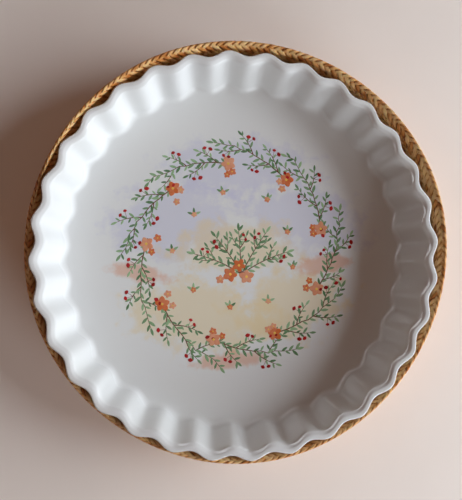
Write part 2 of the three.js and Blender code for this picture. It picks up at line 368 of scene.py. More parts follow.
def porcelain_material(finishes, dish, printed):
    """Glazed porcelain: cast white body under a clear, slightly wavy glaze, fired glossy."""
    material, add = new_material("Glazed porcelain")
    place = add("TexCoord").outputs["Object"]

    # Patches in millimetres, and their detail: the kiln's tone drifts over a hand's breadth, a wash
    # is ragged and grained, and the glaze flows in long, low waves with a faint orange peel.
    patterns = ((60, 2), (14, 4), (3, 3), (22, 1), (2.5, 1))
    drift, ragged, grain, waves, peel = (
        add("TexNoise", {"Vector": place, "Scale": 1 / (patch * MM), "Detail": detail})
        for patch, detail in patterns)
    cooler = (0.985, 0.985, 0.99485)
    cool = [share * c for share, c in zip(cooler, finishes.glaze)]
    body = add("ValToRGB", [drift], stops=tuple(zip(MOST, (finishes.glaze, cool))))

    # The washes lie only on the inner floor.
    floor_top = DISH_FOOT + dish.floor_height
    height = add("SeparateXYZ", [place]).outputs["Z"]
    on_floor = add("MapRange", [height, *(floor_top - depth for depth in WASH_DEPTHS)])
    for x, y, half_length, half_width, turn, enamel in WASHES:
        patch = add("Mapping", {
            "Vector": place,
            "Location": (DISH_CENTRE.x + x * MM, DISH_CENTRE.y + printed.shift + y * MM, floor_top),
            "Rotation": (0, 0, turn * DEGREE),
            "Scale": (half_length * MM, half_width * MM, 1),
        }, vector_type="TEXTURE")
        edge = add("VectorMath", [patch], operation="LENGTH").outputs["Value"]
        for pattern, share in ((ragged, WASH_RAGGED), (grain, WASH_GRAIN)):
            edge = add("Math", [pattern, share, edge], operation="MULTIPLY_ADD")
        strength = add("MapRange", [edge, *WASH_EDGE, 0, WASH_MOST], interpolation_type="SMOOTHSTEP")
        strength = add("Math", [strength, on_floor], operation="MULTIPLY")
        body = add("Mix", [strength, body, (*getattr(finishes, enamel), 1)], data_type="RGBA")

    relief = add("Math", [peel, 0.04, waves], operation="MULTIPLY_ADD")
    shader = add("BsdfPrincipled", {
        "Base Color": body,
        "Normal": add("Bump", {"Height": relief, "Distance": 0.25 * MM, "Strength": 0.5}),
        "Roughness": add("MapRange", [drift, *MOST, 0.05, 0.09]),
        "IOR": GLAZE_IOR,
    })
    add("OutputMaterial", [shader])
    return material


def enamel_material(name, stops):
    """Fired enamel under the glaze: flat colour with a brushed, slightly uneven depth."""
    material, add = new_material(name)
    place = add("TexCoord").outputs["Object"]
    tone = add("Attribute", attribute_name="tone").outputs["Fac"]
    brush = add("TexNoise", {"Vector": place, "Scale": 1 / (1.6 * MM), "Detail": 3})
    mixed = add("Math", [brush, 0.5, tone], operation="MULTIPLY_ADD")
    mixed = add("Math", [mixed, 0.25], operation="SUBTRACT")
    shader = add("BsdfPrincipled", {
        "Base Color": add("ValToRGB", [mixed], stops=stops),
        "Roughness": 0.14,
        "IOR": GLAZE_IOR,
    })
    add("OutputMaterial", [shader])
    return material


def straw_material(finishes):
    """Plaited straw: split, flattened stalks with a satin skin, golden with browner streaks."""
    material, add = new_material("Plaited wheat straw")
    strand = add("Attribute", attribute_name="straw").outputs["Vector"]
    axes = add("SeparateXYZ", [strand])
    along, across, strand_number = (axes.outputs[axis] for axis in "XYZ")

    # Each stalk has its own tone, which changes where a new stalk is laid in, every 16 mm or so.
    stalk = add("CombineXYZ", [along, strand_number])
    tone = add("TexNoise", {"Vector": stalk, "Scale": 1 / (16 * MM), "Detail": 2})
    tone = add("Math", [tone, 1.6, -0.45], operation="MULTIPLY_ADD")
    # Fibres are about 9 mm long, 14 of them lie side by side, and no two strands share them.
    fibre_scales = ((along, 1 / (9 * MM)), (across, 7), (strand_number, 900))
    fibre_place = add("CombineXYZ", [
        add("Math", [axis, scale], operation="MULTIPLY") for axis, scale in fibre_scales])
    fibres = add("TexNoise", {"Vector": fibre_place, "Scale": 1, "Detail": 3, "Roughness": 0.6})
    tone = add("Math", [fibres, 0.45, tone], operation="MULTIPLY_ADD")
    # A strand's rounded edges are painted darker, towards the darkest straw: painted shade where it goes down
    # beside the next one.
    edge = add("Math", [across], operation="ABSOLUTE")
    edge = add("MapRange", [edge, 0.5, 1, 0, 0.24], interpolation_type="SMOOTHSTEP")
    tone = add("Math", [tone, edge], operation="SUBTRACT")
    stops = ((0.12, finishes.straw_dark), (0.38, finishes.straw_gold), (0.6, finishes.straw_light))
    # Light that sinks into a stalk comes out again a little further on, and redder.
    shader = add("BsdfPrincipled", {
        "Base Color": add("ValToRGB", [tone], stops=stops),
        "Normal": add("Bump", {"Height": fibres, "Distance": 0.12 * MM, "Strength": 0.8}),
        "Roughness": add("MapRange", [fibres, *MOST, 0.55, 0.72]),
        "IOR": 1.5,
        "Specular IOR Level": 0.2,
        "Subsurface Weight": 0.35,
        "Subsurface Radius": (1.0, 0.45, 0.2),
        "Subsurface Scale": 1.5 * MM,
    })
    add("OutputMaterial", [shader])
    return material


# Dish

# Smaller sizes of the dish's section
FOOT_ROUNDING = 0.5 * MM
FOOT_STEP = 2 * MM
FOOT_STEP_HEIGHT = 1.2 * MM
CORNER_REACH = 4.9 * MM
FILLET_REACH = 1.8 * MM
FLOOR_RUN_OUT = 6.5 * MM
CREASE_STEP = 0.25 * MM

# The slopes of the rim's top and of its inner side, how softly the one bends into the other, and
# the shares of their width where they are cut
LEVEL_SLOPE = 0.1
STEEP_SLOPE = 0.65
RIM_BEND = 0.6 * MM
RIM_SHARES = (0.15, 0.3, 0.4, 0.48, 0.56, 0.64, 0.75, 0.87, 1)

# Near the floor the flutes are round lobes between creases. Round the fillet they fade by a share
# of their depth.
TOE_SHARPNESS = 0.5
TOE_FADE = 0.3
CREASE_SOFTNESS = 0.3
WALL_PARTS = 10


def rim_drop(dish, inward):
    """How far the rim has fallen at a distance inwards from its crown."""
    past = inward - dish.rim_top
    bent = math.hypot(past, RIM_BEND) + past
    start = math.hypot(dish.rim_top, RIM_BEND) - dish.rim_top
    return LEVEL_SLOPE * inward + (STEEP_SLOPE - LEVEL_SLOPE) / 2 * (bent - start)


def dish_profile(dish):
    """The dish's half section from the axis underneath, up the outside and down the inside to the
    axis again: radius, height, depth of the flutes, and how creased they are."""
    foot = dish.foot_diameter / 2
    foot_inside = foot - dish.foot_width
    recess = foot_inside - dish.foot_height
    rim = (dish.rim_diameter - dish.flute_depth) / 2
    floor = dish.floor_diameter / 2
    crease = rim - dish.rim_width
    underside = ((0, dish.foot_height), (recess * 0.6, dish.foot_height), (recess, dish.foot_height),
                 (foot_inside, FOOT_ROUNDING), (foot_inside + FOOT_ROUNDING, 0),
                 (foot - FOOT_ROUNDING, 0), (foot, FOOT_ROUNDING))
    rows = [(radius, height, 0, 0) for radius, height in underside]

    # The wide outer corner, from the foot to the bottom of the wall
    start = foot + FOOT_STEP
    reach = floor + CORNER_REACH - start
    for degrees in range(90, -1, -10):
        outward = math.cos(degrees * DEGREE)
        height = dish.corner_height - (dish.corner_height - FOOT_STEP_HEIGHT) * math.sin(degrees * DEGREE)
        rows.append((start + reach * outward, height, dish.flute_depth * outward ** 2, 0))

    # The wall's outside: every step goes a larger share of the way that is left.
    shoulder = crease + dish.wall
    shoulder_height = dish.height - dish.shoulder_drop
    for share in (0.25, 0.5, 0.75, 1):
        radius, height = rows[-1][:2]
        radius += (shoulder - radius) * share
        height += (shoulder_height - height) * share
        rows.append((radius, height, dish.flute_depth, 0))

    # The rim: round outside, nearly level on top, then a short slope down to a fine crease
    crown = rim - dish.crown_inset
    for degrees in range(-10, 91, 10):
        height = dish.height - dish.rim_rise * (1 - math.sin(degrees * DEGREE))
        rows.append((crown + dish.crown_inset * math.cos(degrees * DEGREE), height, dish.flute_depth, 0))
    for share in RIM_SHARES:
        inward = share * (crown - crease)
        rows.append((crown - inward, dish.height - rim_drop(dish, inward), dish.flute_depth, 0))

    # The inner wall, then the fillet
    wall_top = rows[-1][1] - CREASE_STEP
    crease -= CREASE_STEP
    toe = floor + FILLET_REACH
    toe_height = dish.floor_height + dish.fillet
    for step in range(WALL_PARTS + 1):
        share = step / WALL_PARTS
        radius = crease + (toe - crease) * share
        height = wall_top + (toe_height - wall_top) * share
        depth = dish.flute_depth + (dish.toe_flute_depth - dish.flute_depth) * share
        rows.append((radius, height, depth, TOE_SHARPNESS * share))
    for degrees in range(10, 91, 10):
        inward = math.sin(degrees * DEGREE)
        radius = toe - dish.fillet * (1 - math.cos(degrees * DEGREE))
        height = dish.floor_height + dish.fillet * (1 - inward)
        rows.append((radius, height, dish.toe_flute_depth * (1 - TOE_FADE * inward ** 2), TOE_SHARPNESS))
    rows += [(radius, dish.floor_height, 0, 0) for radius in (floor - FLOOR_RUN_OUT, floor * 0.5, 0)]
    return rows


def fluted_tree():
    """Turns a profile into a shell whose wall waves in and out."""
    tree, add, given = new_tree("Fluted shell", {
        "Flutes": "Float", "Flute Turn": "Float", "Crease Softness": "Float", "Steps": "Int",
        "Centre": "Vector", "Material": "Material",
    })
    profile = given["Geometry"]
    rings = add("AttributeDomainSize", [profile]).outputs["Point Count"]
    columns = add("Math", [given["Steps"], 1], operation="ADD")
    grid = add("MeshGrid", [1, 1, columns, rings])
    place = add("SeparateXYZ", [add("InputPosition")])
    turn, share = (add("Math", [place.outputs[axis], 0.5], operation="ADD") for axis in "XY")

    # Each point of the grid reads its ring's radius and height, and the ring's wave.
    last_ring = add("Math", [rings, 1], operation="SUBTRACT")
    ring = add("Math", [share, last_ring], operation="MULTIPLY")
    ring = add("Math", [ring], operation="ROUND")
    spot = add("InputPosition")
    flute = add("InputNamedAttribute", ["flute"], data_type="FLOAT_VECTOR")
    sampled = [add("SampleIndex", [profile, field, ring], data_type="FLOAT_VECTOR")
               for field in (spot, flute)]
    spot, flute = (add("SeparateXYZ", [field]).outputs for field in sampled)

    # The wave: an even one at the rim, and round lobes between creases near the floor
    half_phase = add("Math", [turn, given["Flutes"]], operation="MULTIPLY")
    half_phase = add("Math", [half_phase, math.pi], operation="MULTIPLY")
    phase = add("Math", [half_phase, 2], operation="MULTIPLY")
    even = add("Math", [phase], operation="COSINE")
    soft = given["Crease Softness"]
    soft_square = add("Math", [soft, soft], operation="MULTIPLY")
    sine = add("Math", [half_phase], operation="SINE")
    lobe = add("Math", [sine, sine, soft_square], operation="MULTIPLY_ADD")
    full = add("Math", [soft_square, 1], operation="ADD")
    roots = [add("Math", [square], operation="SQRT") for square in (lobe, full)]
    heights = [add("Math", [root, soft], operation="SUBTRACT") for root in roots]
    lobe = add("Math", heights, operation="DIVIDE")
    creased = add("Math", [lobe, -2, 1], operation="MULTIPLY_ADD")
    wave = add("Mix", [flute["Y"], even, creased])
    half_depth = add("Math", [flute["X"], 0.5], operation="MULTIPLY")
    radius = add("Math", [wave, half_depth, spot["X"]], operation="MULTIPLY_ADD")

    bearing = add("Math", [turn, math.tau, given["Flute Turn"]], operation="MULTIPLY_ADD")
    directions = [add("Math", [bearing], operation=name) for name in ("COSINE", "SINE")]
    sides = [add("Math", [radius, direction], operation="MULTIPLY") for direction in directions]
    point = add("CombineXYZ", [*sides, spot["Z"]])
    point = add("VectorMath", [point, given["Centre"]], operation="ADD")
    shell = add("SetPosition", {"Geometry": grid.outputs["Mesh"], "Position": point})
    shell = add("MergeByDistance", {"Geometry": shell, "Distance": 0.01 * MM})
    end_tree(add, shell, given["Material"])
    return tree


class TART_OT_dish(bpy.types.Operator):
    """Build the fluted porcelain dish"""
    bl_idname = "mesh.tart_dish"
    bl_label = "Porcelain Dish"

    def execute(self, context):
        dish = context.scene.tart_dish
        rows = dish_profile(dish)
        points = [(radius, 0, height) for radius, height, _, _ in rows]
        flute = [(depth, crease, 0) for _, _, depth, crease in rows]
        profile = mesh_of("dish_profile", points, [(i, i + 1) for i in range(len(rows) - 1)], flute=flute)
        piece = grow("porcelain_dish", profile, fluted_tree(), {
            "Flutes": float(dish.flutes),
            "Flute Turn": dish.flute_turn,
            "Crease Softness": CREASE_SOFTNESS,
            "Steps": dish.steps,
            "Centre": (DISH_CENTRE.x, DISH_CENTRE.y, DISH_FOOT),
            "Material": porcelain_material(context.scene.tart_finishes, dish, context.scene.tart_print),
        })
        finish_piece(piece, "glazed_porcelain", "dish")
        return {"FINISHED"}


# Print

class Garland:
    """Where the garland's twigs and brush strokes lie on the floor, seen from the dish's middle."""

    # A leaf's angle to its twig in degrees, and its size. Its tone is partly left to chance.
    LEAF_TURN = (30, 58)
    LEAF_SIZE = (0.7, 1.1)
    TONE_CHANCE = 0.75
    TONE_CYCLE = 7

    # How a pair of berries spreads, and their stalks in millimetres
    BERRY_SPREAD = (-0.45, 0.4)
    STALK = (4.5, 6.5)
    STALK_WIDTH = 0.4

    # A sprig's stem starts inside the ring's middle line, in millimetres, and swings out from it,
    # slowly at first. It branches at some of its points, in degrees and millimetres.
    STEM_PARTS = 14
    STEM_START = -9
    STEM_SWING = (17, 21)
    STEM_EASE = 1.3
    FORKS = (3, 5, 8, 10)
    FORK_TURN = (38, 50)
    FORK_REACH = (15, 21)

    BRANCH_PARTS = 5
    PETALS = 5
    FIRST_SPRIG = 0.2
    STREWN = 9

    # The posy's foot, its sprigs' lean in degrees, and its blossoms: place, size and tone
    POSY_FOOT = (4, -18)
    POSY_LEAN = (-56, -27, 3, 30, 58)
    POSY_BLOSSOMS = ((-5, -18, 1, 0.8), (8, -20, 1, 0.3), (2, -11, 0.9, 0.95), (-13, -22, 0.6, 0.3))

    def __init__(self, printed):
        self.printed = printed
        self.chance = random.Random(printed.seed)
        self.twigs = []
        self.strokes = {"leaves": [], "berries": [], "petals": [], "hearts": []}
        for number in range(printed.sprigs):
            self.sprig(math.tau * number / printed.sprigs + self.FIRST_SPRIG, number)
        self.posy()
        self.scatter()

    def stroke(self, kind, place, turn, size, tone):
        """One dab of the brush: its place, direction, share of full size, and tone from 0 to 1."""
        self.strokes[kind].append((place, turn, size, tone))

    def twig(self, points, size):
        """A twig with leaves on both sides, which get smaller towards its tip."""
        self.twigs.append((points, size))
        spacing = self.printed.leaf_spacing
        run = spacing
        side = 1
        for start, end in zip(points, points[1:]):
            step = end - start
            direction = math.atan2(step.y, step.x)
            while run < step.length:
                cycle = len(self.strokes["leaves"]) % self.TONE_CYCLE / self.TONE_CYCLE
                turn = direction + side * self.chance.uniform(*self.LEAF_TURN) * DEGREE
                tone = self.TONE_CHANCE * self.chance.random() + (1 - self.TONE_CHANCE) * cycle
                leaf_size = size * self.chance.uniform(*self.LEAF_SIZE)
                self.stroke("leaves", start + step * (run / step.length), turn, leaf_size, tone)
                run += spacing
                side = -side
            run -= step.length
        self.stroke("leaves", points[-1], direction, size, self.chance.random())

    def branch(self, start, direction, reach, bend, size):
        """A twig that leaves another one and curves back towards its direction."""
        points = [start]
        for i in range(self.BRANCH_PARTS):
            heading = direction + bend * i / (self.BRANCH_PARTS - 1)
            points.append(points[-1] + towards(heading) * reach / self.BRANCH_PARTS)
        self.twig(points, size)
        return points

    def berries(self, start, direction):
        """A pair of berries on thin stalks."""
        for spread in self.BERRY_SPREAD:
            heading = direction + spread
            end = start + towards(heading) * (self.chance.uniform(*self.STALK) * MM)
            self.twigs.append(([start, (start + end) / 2, end], self.STALK_WIDTH))
            self.stroke("berries", end, heading, self.chance.uniform(0.8, 1.1), self.chance.random())

    def blossom(self, centre, size, tone):
        """Petals round a heart."""
        start = self.chance.uniform(0, math.tau)
        for i in range(self.PETALS):
            turn = start + math.tau * i / self.PETALS
            shade = min(1, max(0, tone + self.chance.uniform(-0.15, 0.15)))
            self.stroke("petals", centre, turn, size * self.chance.uniform(0.9, 1.05), shade)
        self.stroke("hearts", centre, 0, size, self.chance.random())

    def sprig(self, start_bearing, number):
        """A sprig of the ring, which swings outwards, with branches, berries and three blossoms."""
        stem = []
        for i in range(self.STEM_PARTS + 1):
            share = i / self.STEM_PARTS
            swing = self.STEM_START + self.chance.uniform(*self.STEM_SWING) * share ** self.STEM_EASE
            bearing = start_bearing + self.printed.sprig_span * share
            stem.append(towards(bearing) * (self.printed.garland_radius + swing * MM))
        self.twig(stem, 1)
        for i, place in enumerate(self.FORKS):
            side = 1 if i % 2 else -1
            step = stem[place + 1] - stem[place]
            direction = math.atan2(step.y, step.x) + side * self.chance.uniform(*self.FORK_TURN) * DEGREE
            reach = self.chance.uniform(*self.FORK_REACH) * MM
            points = self.branch(stem[place], direction, reach, -side * 24 * DEGREE, 0.85)
            self.berries(points[3], direction + side * 50 * DEGREE)
        tone = 0.8 if number % 2 else 0.25
        self.blossom(stem[1], 1, tone)
        for place, size in ((0, 0.55), (2, 0.5)):
            offset = Vector((self.chance.uniform(-1, 1), self.chance.uniform(-1, 1))) * 3 * MM
            self.blossom(stem[place] * self.chance.uniform(0.86, 0.92) + offset, size, 1 - tone)

    def posy(self):
        """Five fanned sprigs in the middle, tied under four blossoms. Places are in millimetres."""
        foot = Vector([side * MM for side in self.POSY_FOOT])
        for i, lean in enumerate(self.POSY_LEAN):
            direction = (90 + lean) * DEGREE
            points = self.branch(foot, direction, self.chance.uniform(34, 42) * MM, lean * 0.3 * DEGREE, 1)
            for side in (-1, 1):
                turn = direction + side * 42 * DEGREE
                self.branch(points[3], turn, 11 * MM, -side * 20 * DEGREE, 0.8)
            self.berries(points[4], direction + (1.2 if i % 2 else -1.2))
        for x, y, size, tone in self.POSY_BLOSSOMS:
            self.blossom(Vector((x, y)) * MM, size, tone)

    def scatter(self):
        """Small blossoms strewn between the posy and the ring, each with three leaves."""
        for i in range(self.STREWN):
            bearing = (math.tau * i / self.STREWN) + self.chance.uniform(-0.12, 0.12) + 0.35
            centre = towards(bearing) * self.chance.uniform(44, 52) * MM
            for turn in (0.6, 1.6, 2.6):
                turn += self.chance.uniform(-0.3, 0.3)
                self.stroke("leaves", centre, turn, 0.9, self.chance.random())
            self.blossom(centre, 0.42, self.chance.random())


# How much narrower a twig is at its tip, and a stroke at its ends
TWIG_TAPER = 0.6
STROKE_TAPER = 1.6


def twig_mesh(twigs, middle):
    """The twigs as lines of points, each with its share of the full width."""
    points, edges, stretch = [], [], []
    for twig, size in twigs:
        last = len(twig) - 1
        edges += [(len(points) + i, len(points) + i + 1) for i in range(last)]
        points += [middle + place.to_3d() for place in twig]
        stretch += [size * (1 - TWIG_TAPER * i / last) for i in range(last + 1)]
    return mesh_of("twigs", points, edges, stretch=stretch)


def stroke_mesh(kind, strokes, middle):
    """The strokes of one kind as points, each with its turn, size and tone."""
    places, turns, sizes, tones = zip(*strokes)
    points = [middle + place.to_3d() for place in places]
    return mesh_of(kind, points, [], turn=turns, stretch=sizes, tone=tones)


def stroke_tree():
    """Sets a flat, pointed brush stroke on every point, turned and sized by the point's numbers."""
    tree, add, given = new_tree("Enamel strokes", {
        "Length": "Float", "Width": "Float", "Thickness": "Float", "Reach": "Float", "Material": "Material",
    })
    turn, stretch = (
        add("InputNamedAttribute", [name]).outputs["Attribute"] for name in ("turn", "stretch"))
    dab = add("MeshUVSphere", {"Segments": 8, "Rings": 7, "Radius": 0.5}).outputs["Mesh"]
    dab = add("Transform", {"Geometry": dab, "Rotation": (0, math.pi / 2, 0)})
    # The stroke tapers to its ends, and its foot lies on the point.
    x, y, z = add("SeparateXYZ", [add("InputPosition")]).outputs
    square = add("Math", [x, x], operation="MULTIPLY")
    taper = add("Math", [square, -STROKE_TAPER, 1], operation="MULTIPLY_ADD")
    width = add("Math", [taper, given["Width"]], operation="MULTIPLY")
    moved = add("Math", [x, given["Reach"]], operation="ADD")
    sizes = ((moved, given["Length"]), (y, width), (z, given["Thickness"]))
    shape = add("CombineXYZ", [add("Math", pair, operation="MULTIPLY") for pair in sizes])
    dab = add("SetPosition", {"Geometry": dab, "Position": shape})
    dabs = add("InstanceOnPoints", {
        "Points": add("MeshToPoints", {"Mesh": given["Geometry"]}),
        "Instance": dab,
        "Rotation": add("CombineXYZ", {"Z": turn}),
        "Scale": add("CombineXYZ", [stretch, stretch, 1]),
    })
    end_tree(add, dabs, given["Material"])
    return tree


def twig_tree():
    """Draws a flat, tapering line of enamel along every twig."""
    tree, add, given = new_tree("Enamel twigs", {
        "Width": "Float", "Thickness": "Float", "Material": "Material",
    })
    thin = add("InputNamedAttribute", ["stretch"]).outputs["Attribute"]
    line = add("MeshToCurve", {"Mesh": given["Geometry"]})
    line = add("SetCurveNormal", {"Curve": line}, mode="Z_UP")
    ring = add("CurvePrimitiveCircle", {"Resolution": 6, "Radius": 0.5}).outputs["Curve"]
    flat = add("CombineXYZ", [given["Width"], given["Thickness"], 1])
    ring = add("Transform", {"Geometry": ring, "Scale": flat})
    body = add("CurveToMesh", {"Curve": line, "Profile Curve": ring, "Scale": thin, "Fill Caps": True})
    end_tree(add, body, given["Material"])
    return tree


class TART_OT_print(bpy.types.Operator):
    """Print the garland on the dish's floor"""
    bl_idname = "mesh.tart_print"
    bl_label = "Printed Garland"

    def execute(self, context):
        printed = context.scene.tart_print
        finishes = context.scene.tart_finishes
        floor_top = DISH_FOOT + context.scene.tart_dish.floor_height
        middle = Vector((DISH_CENTRE.x, DISH_CENTRE.y + printed.shift, floor_top))
        garland = Garland(printed)
        brown = [0.7 * c for c in finishes.twig]
        twigs = grow("print_twigs", twig_mesh(garland.twigs, middle), twig_tree(), {
            "Width": printed.twig,
            "Thickness": printed.thickness,
            "Material": enamel_material("Brown enamel", ((0.2, brown), (0.8, finishes.twig))),
        })
        finish_piece(twigs, "glazed_porcelain")

        # Each kind of stroke: its enamel, its two tones, its length and width, how far it lies past
        # its point as a share of its length, and how high above the floor in millimetres
        leaf, petal, berry = printed.leaf_length, printed.petal, printed.berry
        heart = 0.36 * petal
        greens = (finishes.leaf_dark, finishes.leaf_light)
        oranges = (finishes.blossom_pale, finishes.blossom)
        yellows = (finishes.heart, [min(1, 1.2 * c) for c in finishes.heart])
        reds = ([0.6 * c for c in finishes.berry], finishes.berry)
        kinds = {
            "leaves": ("Green enamel", greens, leaf, printed.leaf_width, 0.5, 0.02),
            "petals": ("Terracotta enamel", oranges, petal, 0.8 * petal, 0.5, 0.04),
            "hearts": ("Yellow enamel", yellows, heart, heart, 0, 0.07),
            "berries": ("Red enamel", reds, berry, 1.3 * berry, 0, 0.05),
        }
        tree = stroke_tree()
        for kind, (enamel, tones, long, wide, reach, lift) in kinds.items():
            seed_mesh = stroke_mesh(kind, garland.strokes[kind], middle + Vector((0, 0, lift * MM)))
            piece = grow("print_" + kind, seed_mesh, tree, {
                "Length": long,
                "Width": wide,
                "Thickness": printed.thickness,
                "Reach": reach,
                "Material": enamel_material(enamel, tuple(zip((0.1, 0.9), tones))),
            })
            finish_piece(piece, "glazed_porcelain")
        return {"FINISHED"}


# Basket

# A hand-sewn coil is a little oval, a little three-cornered and a little four-cornered: how many
# bulges, and where one of them is, in degrees.
BULGES = ((2, 34), (3, 23), (4, 105))
BULGE_HEIGHT = 0.5 * MM
LEAN_CURVE = 1.6

# The plait lies this far above the table and its turns in the base this far apart. It turns up
# into the wall along this bend, upright by so many turns, and its rows press into each other.
BASE_LIFT = 0.1 * MM
BASE_GAP = 0.35 * MM
EDGE_BEND = 1.5 * MM
UPRIGHT_TURNS = 0.1
ROW_PRESS = 0.25 * MM

# The room left beside the dish, measured this far above a row's middle. The dish's rim starts to
# narrow at a share of its rise, and a squarish plait reaches further than an ellipse does.
DISH_ROOM = 0.4 * MM
ROOM_RISE = 1.5 * MM
RIM_SHARE = 1.2
SQUARE_REACH = 1.12

# The plait's end at the rim: the share of the row left there, and the turns over which it thins
END_SHARE = 0.3
END_TAPER = 0.055

# Turns of the base, from the middle of the coil to where the wall begins
BASE_START = -22.3
BASE_MIDDLE = -8.0
WALL_START = -0.6


def out_of_round(bearing):
    """How far the coil bulges out at a bearing."""
    return BULGE_HEIGHT * sum(math.cos(bulges * (bearing - place * DEGREE)) for bulges, place in BULGES)


def wall_radius(basket, height, bearing):
    """The basket wall's outer radius at a height above the table."""
    down = max(0.0, 1 - height / basket.widest_height)
    lean = (basket.diameter - basket.foot_diameter) / 2 * down ** LEAN_CURVE
    curl = basket.rim_curl * max(0.0, height - basket.widest_height)
    return basket.diameter / 2 - lean - curl + (1 - down) * out_of_round(bearing)


def dish_reach(dish, height, bearing):
    """How far the dish's crests reach from the basket's axis, at a height above the table."""
    rim_foot = DISH_FOOT + dish.height - RIM_SHARE * dish.rim_rise
    shoulder = DISH_FOOT + dish.height - dish.shoulder_drop
    under_rim = min(1.0, max(0.0, (rim_foot - height) / (rim_foot - shoulder)))
    off_centre = DISH_CENTRE.x * math.cos(bearing) + DISH_CENTRE.y * math.sin(bearing)
    return dish.rim_diameter / 2 - (dish.rim_width - dish.wall) * under_rim + off_centre


def smooth_step(value):
    """0 below 0, 1 above 1 and an even curve between."""
    value = min(1.0, max(0.0, value))
    return value * value * (3 - 2 * value)


def coil_point(basket, dish, turns):
    """The middle of the plait after some turns of wall, with the directions through its thickness
    and its height, each as long as half the plait there, and how full it is. Negative turns lie in
    the base."""
    bearing = basket.coil_end + math.tau * turns
    half_row = basket.row_height / 2
    rest = basket.base_thickness / 2 + BASE_LIFT
    above = basket.first_row + half_row + basket.row_height * turns - rest
    height = rest + (above + math.hypot(above, EDGE_BEND)) / 2
    edge_turns = (rest - basket.first_row - half_row) / basket.row_height
    flat = smooth_step((UPRIGHT_TURNS - turns) / (UPRIGHT_TURNS - 2 * edge_turns))
    top = smooth_step(turns - (basket.wall_rows - 2))
    thickness = basket.plait_thickness
    thickness += (basket.base_thickness - thickness) * flat + (basket.rim_thickness - thickness) * top
    rise = wall_radius(basket, height + MM, bearing) - wall_radius(basket, height - MM, bearing)
    lean = math.atan(rise / (2 * MM)) * (1 - flat) + math.pi / 2 * flat
    tilt = basket.rim_slope * top - lean

    # The top rows fill no more than the room beside the dish.
    wall_turns = max(turns, edge_turns)
    outer = wall_radius(basket, height, basket.coil_end + math.tau * wall_turns)
    inner = dish_reach(dish, height + ROOM_RISE, bearing) + DISH_ROOM
    thickness /= 2
    deep = thickness
    if top > 0:
        deep = SQUARE_REACH * math.hypot(thickness * math.cos(tilt), half_row * math.sin(tilt))
        fit = min(1.0, (outer - inner) / (2 * deep))
        thickness *= fit
        deep *= fit

    # The last hand's breadth of the top row thins out and is tucked in.
    size = min(1.0, END_SHARE + (1 - END_SHARE) * (basket.wall_rows - turns) / END_TAPER)
    height -= half_row * (1 - size)
    radius = (outer - deep * size) * size + (inner + deep * size) * (1 - size)
    radius -= (basket.row_height + BASE_GAP) * (wall_turns - turns)

    radial = towards(bearing).to_3d()
    up = Vector((0, 0, 1))
    through = (math.cos(tilt) * radial + math.sin(tilt) * up) * thickness
    tall = (math.sin(lean) * radial + math.cos(lean) * up) * (half_row + ROW_PRESS)
    return radial * radius + up * height, through, tall, size


def plait_length(basket, dish, turns, parts=400):
    """Length of plait from the first wall row to a number of turns, by fine steps."""
    shares = ((i + 0.5) / parts for i in range(parts))
    radii = (coil_point(basket, dish, turns * share)[0].xy.length for share in shares)
    return math.tau * turns * sum(radii) / parts


def coil_line(basket, dish, start, end, steps_per_stitch):
    """The plait's middle line between two numbers of turns, as a mesh for the plait's tree."""
    rows = []
    step = basket.stitch / steps_per_stitch
    turns = start
    # The run is counted from the first wall row, so that two neighbouring stretches meet in step.
    run = plait_length(basket, dish, start)
    while turns < end:
        rows.append((*coil_point(basket, dish, turns), run))
        turns += step / (math.tau * max(rows[-1][0].xy.length, 2 * MM))
        run += step
    points, through, tall, size, along = zip(*rows)
    edges = [(i, i + 1) for i in range(len(points) - 1)]
    return mesh_of("coil_line", points, edges, through=through, tall=tall, size=size, along=along)


